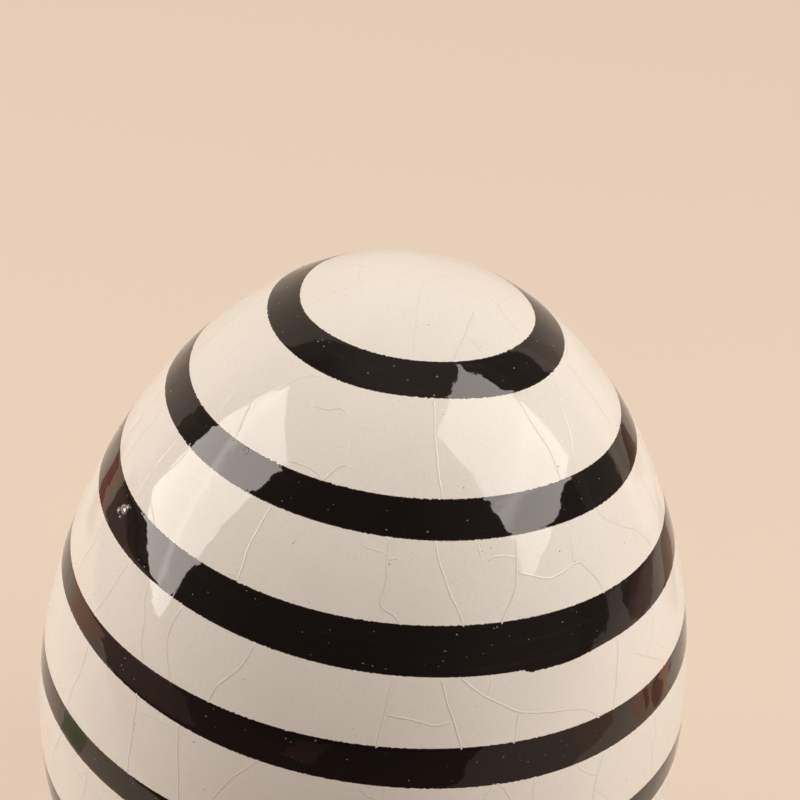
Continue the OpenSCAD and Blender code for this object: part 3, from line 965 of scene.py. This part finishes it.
def dome(outline, turn, reach, half_round, half_along, tall, profile, lean=0.0):
    """A small closed bump on the surface, at a turn in degrees and a reach in millimetres.

    Its height over an ellipse follows a profile from the middle out. Its long side may lean.
    """
    segments, rings, heights = profile
    ring = np.arange(segments) * 2 * np.pi / segments
    across = rings[:, None] * np.cos(ring) * half_round
    up = rings[:, None] * np.sin(ring) * half_along
    right = (across * np.cos(lean) - up * np.sin(lean)) * MM
    down = -(across * np.sin(lean) + up * np.cos(lean)) * MM
    girth = outline.at(reach * MM, outline.radius)
    lift = np.broadcast_to((tall * MM * heights - DOME_SINK)[:, None], right.shape)
    top = outline.place(reach * MM + down, np.radians(turn) + right / girth, lift)
    keel = outline.place(reach * MM + down[-1:], np.radians(turn) + right[-1:] / girth, -DOME_KEEL + 0 * right[-1:])
    return skin(np.concatenate([top, keel]), False)


class EGG_OT_scatter_flaws(bpy.types.Operator):
    """Scatters what the kiln left: blisters and hairs on the black, pinholes in the cream"""
    bl_idname = "egg.scatter_flaws"
    bl_label = "Scatter kiln flaws"

    def execute(self, context):
        scene = context.scene
        outline, edges = egg_lines(scene)
        flaws = scene.egg_flaws
        rng = np.random.default_rng(flaws.seed)
        relief = scene.egg_shape.band_relief / MM
        means = [edge.mean() / MM for edge in edges]
        blisters, pinholes = [], []
        for turn, reach, wide in FRONT_BLISTERS:
            blisters.append((turn, reach, wide / 2, wide / 2, relief + wide / 5, BLISTER))
        for turn, reach, wide in FRONT_PINHOLES:
            pinholes.append((turn, reach, wide / 2, wide / 2, DOME_SINK / MM * 1.6, BLISTER))
        for i in range(BANDS):
            upper, lower = means[2 * i + 1] + 0.4, means[2 * i + 2] - 0.4
            area = 2 * np.pi * outline.at(upper * MM, outline.radius) / MM * (lower - upper)
            for turn, reach in zip(*scattered(rng, area * flaws.blister_rate, upper, lower)):
                wide = min(rng.lognormal(np.log(flaws.blister_width / MM), 0.35), 0.4)
                blisters.append((turn, reach, wide / 2, wide / 2, relief + wide / 5, BLISTER))
            for turn, reach in zip(*scattered(rng, area * flaws.hair_rate, upper, lower)):
                blisters.append((turn, reach, 0.035, rng.uniform(0.18, 0.32), relief + 0.02, BLISTER,
                                 rng.uniform(0, np.pi)))
        for i in range(BANDS + 1):
            upper, lower = means[2 * i] + 0.4, means[2 * i + 1] - 0.4
            area = 2 * np.pi * outline.at((upper + lower) / 2 * MM, outline.radius) / MM * (lower - upper)
            for turn, reach in zip(*scattered(rng, area * flaws.pinhole_rate, upper, lower)):
                wide = rng.uniform(0.12, 0.24)
                pinholes.append((turn, reach, wide / 2, wide / 2, DOME_SINK / MM * 1.6, BLISTER))
        finish = scene.egg_finish
        # Blisters: light grey, partly their own skin and partly a painted glint
        ash_and_glint = kiln_dust("kiln_ash_and_glint_finish", finish.ash_and_glint, finish.black, finish.glassiness)
        dark = kiln_dust("kiln_dust_finish", finish.dust, finish.crack)
        slag = kiln_dust("kiln_slag_finish", finish.slag, finish.black, finish.glassiness, 1500.0)
        for name, bumps, profile, material in (("kiln_slag", SLAG, LUMP, slag),
                                               ("burst_bubble", BURST, CRATER, black_glaze(finish))):
            make_piece(name, join([dome(outline, *bump, profile) for bump in bumps]), material)
        make_piece("kiln_blisters", join([dome(outline, *bump) for bump in blisters]), ash_and_glint)
        make_piece("kiln_pinholes", join([dome(outline, *spot) for spot in pinholes]), dark)
        return {"FINISHED"}


class EGG_OT_finish_clay(bpy.types.Operator):
    """Gives the cast shell its bare fired clay, seen at the foot and through the vent"""
    bl_idname = "egg.finish_clay"
    bl_label = "Finish bare clay"

    def execute(self, context):
        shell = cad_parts["cast_shell"]
        shell.data.materials.clear()
        shell.data.materials.append(bare_clay(context.scene.egg_finish))
        return {"FINISHED"}


def soft_box(name, studio, streak, level):
    """A material that only gives light: even, with the lamp behind the cloth as a brighter streak."""
    material = bpy.data.materials.new(name)
    material.use_nodes = True
    tree = material.node_tree
    tree.nodes.remove(tree.nodes["Principled BSDF"])
    across = node(tree, "SeparateXYZ", {"Vector": node(tree, "UVMap", uv_map="across").outputs[0]})
    start, drift = streak
    line = node(tree, "Math", {0: across.outputs["X"], 1: drift, 2: start}, operation="MULTIPLY_ADD")
    off = node(tree, "Math", {0: across.outputs["Y"], 1: line.outputs[0]}, operation="SUBTRACT")
    near = node(tree, "Math", {0: off.outputs[0]}, operation="ABSOLUTE")
    light = node(tree, "MapRange", {"Value": near.outputs[0], "From Min": 0.0, "From Max": 0.11,
                                    "To Min": level * (studio.panel_light + studio.streak_light),
                                    "To Max": level * studio.panel_light}, interpolation_type="SMOOTHSTEP")
    glow = node(tree, "Emission", {"Color": (*studio.panel, 1), "Strength": light.outputs[0]})
    tree.links.new(glow.outputs[0], tree.nodes["Material Output"].inputs["Surface"])
    return material


def stage_mesh(name, points, material):
    """One flat face for the studio."""
    mesh = bpy.data.meshes.new(name)
    mesh.from_pydata([tuple(p) for p in points], [], [tuple(range(len(points)))])
    mesh.materials.append(material)
    made = bpy.data.objects.new(name, mesh)
    bpy.context.scene.collection.objects.link(made)
    return made


def matte(name, shade):
    """A matte sheet of one colour, for the studio."""
    material = bpy.data.materials.new(name)
    material.use_nodes = True
    shader = material.node_tree.nodes["Principled BSDF"]
    shader.inputs["Base Color"].default_value = (*shade, 1)
    shader.inputs["Roughness"].default_value = 0.9
    shader.inputs["Specular IOR Level"].default_value = 0.1
    return material, material.node_tree, shader


def backdrop_paper(studio):
    """Plain pale paper, which the camera and the glaze see at its own colour with part of the egg's shadow."""
    material, tree, shader = matte("backdrop_paper", studio.backdrop)
    path = node(tree, "LightPath")
    seen = path.outputs["Is Camera Ray"]
    for way in ("Is Glossy Ray", "Is Transmission Ray"):
        seen = node(tree, "Math", {0: seen, 1: path.outputs[way]}, operation="MAXIMUM").outputs[0]
    mostly = node(tree, "Math", {0: seen, 1: 0.8}, operation="MULTIPLY").outputs[0]
    glow = node(tree, "Emission", {"Color": (*studio.backdrop, 1), "Strength": 1.0}).outputs[0]
    surface = node(tree, "MixShader", {0: mostly, 1: shader.outputs[0], 2: glow}).outputs[0]
    tree.links.new(surface, tree.nodes["Material Output"].inputs["Surface"])
    return material


def lay_cards(studio):
    """What lies on the paper out of view, each a little above the last. The paper sees through them."""
    for number, (name, (shade, corners)) in enumerate(TABLE_CARDS.items(), 1):
        material, tree, shader = matte(name, getattr(studio, shade))
        below = node(tree, "NewGeometry").outputs["Backfacing"]
        clear = node(tree, "BsdfTransparent").outputs[0]
        surface = node(tree, "MixShader", {0: below, 1: shader.outputs[0], 2: clear}).outputs[0]
        tree.links.new(surface, tree.nodes["Material Output"].inputs["Surface"])
        card = stage_mesh(name, [(x, y, number * CARD_STEP) for x, y in corners], material)
        card.visible_camera = card.visible_shadow = False


def hang_room_glow_sheet(studio):
    """A sheet that glows with painted room light and shade, dark at the front, round the camera's side and over the
    top.
    It is open behind the egg, and the camera sees through it.

    A point of it is a turn round the egg and a climb from its rim to straight above, at one distance.
    Its glow runs from the dark painted room shade to a share of the backdrop's by the turn, and eases into
    the painted overhead glow near the top. The turn is read where a line down the leaning sheet meets its rim.
    """
    start, end = ROOM_GLOW_ROUND[0][0], ROOM_GLOW_ROUND[-1][0]
    front = np.linspace(start, end, 241)
    turns = np.concatenate([front, np.linspace(end, start + 360, 42)[1:-1]])
    rim = np.where(turns <= end, ROOM_GLOW_FOOT, ROOM_GLOW_BROW)
    climb = rim + (np.pi / 2 - rim) * np.linspace(0, 1, 24)[:, None]
    turn = np.radians(turns) + 0 * climb
    points = ROOM_GLOW_RADIUS * np.stack([np.cos(climb) * np.sin(turn), -np.cos(climb) * np.cos(turn),
                                        np.sin(climb)], -1)
    upright = turns - ROOM_GLOW_LEAN * np.degrees(climb) * smooth_step(turns / 60)
    share = np.where(turns <= end, np.interp(upright, *zip(*ROOM_GLOW_ROUND)), 1)
    left, right, high, level = LOW_GLOW_PATCH
    # A brighter patch of painted glow low on the sheet
    board = level * (1 - smooth_step(np.degrees(climb) / high)) * ((turns > left) & (turns < right))
    share = np.maximum(share, board)[..., None]
    painted_room_glow, backdrop, overhead_glow = (np.array(shade) for shade in (studio.painted_room_glow, studio.backdrop, studio.overhead_glow))
    high = smooth_step((np.sin(climb) - 0.84) / 0.13)[..., None]
    glow = (painted_room_glow + (backdrop - painted_room_glow) * share) * (1 - high) + overhead_glow * high
    down, across = np.arange(len(climb) - 1)[:, None], np.arange(len(turns))
    onward = (across + 1) % len(turns)
    corners = [(down + a) * len(turns) + b for a, b in ((0, across), (0, onward), (1, onward), (1, across))]
    mesh = bpy.data.meshes.new("painted_room_glow")
    mesh.from_pydata(points.reshape(-1, 3), [], np.stack(corners, -1).reshape(-1, 4))
    mesh.attributes.new("glow", "FLOAT_VECTOR", "POINT").data.foreach_set("vector", glow.astype(np.float32).ravel())
    material, tree, shader = matte("painted_room_glow_sheet", studio.painted_room_glow)
    seen = node(tree, "Emission", {"Color": node(tree, "Attribute", attribute_name="glow").outputs["Vector"]})
    tree.nodes.remove(shader)
    material.cycles.emission_sampling = "NONE"
    tree.links.new(seen.outputs[0], tree.nodes["Material Output"].inputs["Surface"])
    mesh.materials.append(material)
    painted_room_glow = bpy.data.objects.new("painted_room_glow", mesh)
    bpy.context.scene.collection.objects.link(painted_room_glow)
    painted_room_glow.visible_camera = False


def fill_front(studio):
    """A weak soft lamp at the front, which the glaze doesn't mirror."""
    lamp = bpy.data.lights.new("fill", "AREA")
    lamp.shape, lamp.size, lamp.energy, lamp.color = "DISK", FILL_WIDTH, studio.fill_light, FILL_SHADE
    made = bpy.data.objects.new("fill", lamp)
    aim = Vector(FILL_PLACE) - Vector((0, 0, EGG_SIZE.z / 2))
    made.matrix_world = Matrix.Translation(FILL_PLACE) @ aim.to_track_quat("Z", "Y").to_matrix().to_4x4()
    made.visible_glossy = made.visible_camera = False
    bpy.context.scene.collection.objects.link(made)


def light_room(studio):
    """A world of the backdrop's colour, all round."""
    world = bpy.data.worlds.new("studio_room")
    bpy.context.scene.world = world
    world.use_nodes = True
    world.node_tree.nodes["Background"].inputs["Color"].default_value = (*studio.backdrop, 1)


def aim_camera():
    """The camera at the photo's viewing angle: panned, tilted down, then rolled about its own axis."""
    pan, tilt, roll = CAMERA_PAN, CAMERA_TILT, CAMERA_ROLL
    ahead = np.array([np.sin(pan) * np.cos(tilt), np.cos(pan) * np.cos(tilt), -np.sin(tilt)])
    level = np.array([np.cos(pan), -np.sin(pan), 0.0])
    above = np.cross(level, ahead)
    right = np.cos(roll) * level + np.sin(roll) * above
    up = -np.sin(roll) * level + np.cos(roll) * above
    lens = bpy.data.cameras.new("photo_view")
    lens.sensor_width = SENSOR
    lens.lens = FOCAL_PIXELS * SENSOR / PHOTO_PIXELS
    lens.clip_start = 0.01
    camera = bpy.data.objects.new("photo_view", lens)
    turn = Matrix(np.stack([right, up, -ahead], 1).tolist()).to_4x4()
    camera.matrix_world = Matrix.Translation(CAMERA_PLACE) @ turn
    bpy.context.scene.collection.objects.link(camera)
    bpy.context.scene.camera = camera


class EGG_OT_set_studio(bpy.types.Operator):
    """Sets the floor, the soft boxes, the sheets round them, with painted shade before the egg and a sheet glowing
    with painted room light and shade, the room and the camera
    """
    bl_idname = "egg.set_studio"
    bl_label = "Set studio"

    def execute(self, context):
        scene = context.scene
        studio = scene.egg_studio
        scene.view_settings.view_transform = "Standard"
        ring = np.arange(64) * 2 * np.pi / 64
        edge = np.stack([np.cos(ring), np.sin(ring), 0 * ring], -1) * studio.floor_radius
        stage_mesh("floor", edge, backdrop_paper(studio))
        for name, (points, corners, streak, level) in SOFT_BOXES.items():
            panel = stage_mesh(name, points, soft_box(name, studio, streak, level))
            panel.data.uv_layers.new(name="across").data.foreach_set("uv", corners)
            panel.visible_camera = False
        lay_cards(studio)
        hang_room_glow_sheet(studio)
        fill_front(studio)
        light_room(studio)
        aim_camera()
        return {"FINISHED"}


class EGG_PT_maker(bpy.types.Panel):
    """Lists the sizes, the colours and the making of the egg"""
    bl_label = "Striped ceramic egg"
    bl_idname = "EGG_PT_maker"
    bl_space_type = "VIEW_3D"
    bl_region_type = "UI"
    bl_category = "Egg"

    def draw(self, context):
        for name in SETTINGS:
            group = getattr(context.scene, name)
            box = self.layout.box()
            for field in group.__annotations__:
                box.prop(group, field)
        for operator in OPERATORS:
            self.layout.operator(operator.bl_idname)


SETTINGS = {
    "egg_shape": EggShape,
    "egg_brush": EggBrush,
    "egg_crackle": EggCrackle,
    "egg_flaws": EggFlaws,
    "egg_finish": EggFinish,
    "egg_studio": EggStudio,
}
OPERATORS = (EGG_OT_lay_cream, EGG_OT_brush_bands, EGG_OT_raise_crackle, EGG_OT_scatter_flaws, EGG_OT_finish_clay,
             EGG_OT_set_studio)


def register():
    for kind in (*SETTINGS.values(), *OPERATORS, EGG_PT_maker):
        bpy.utils.register_class(kind)
    for name, kind in SETTINGS.items():
        setattr(bpy.types.Scene, name, PointerProperty(type=kind))


def unregister():
    for name in SETTINGS:
        delattr(bpy.types.Scene, name)
    for kind in (EGG_PT_maker, *OPERATORS[::-1], *SETTINGS.values()):
        bpy.utils.unregister_class(kind)


def main():
    register()
    bpy.ops.egg.lay_cream()
    bpy.ops.egg.brush_bands()
    bpy.ops.egg.raise_crackle()
    bpy.ops.egg.scatter_flaws()
    bpy.ops.egg.finish_clay()
    bpy.ops.egg.set_studio()
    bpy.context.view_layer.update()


if __name__ == "__main__":
    main()
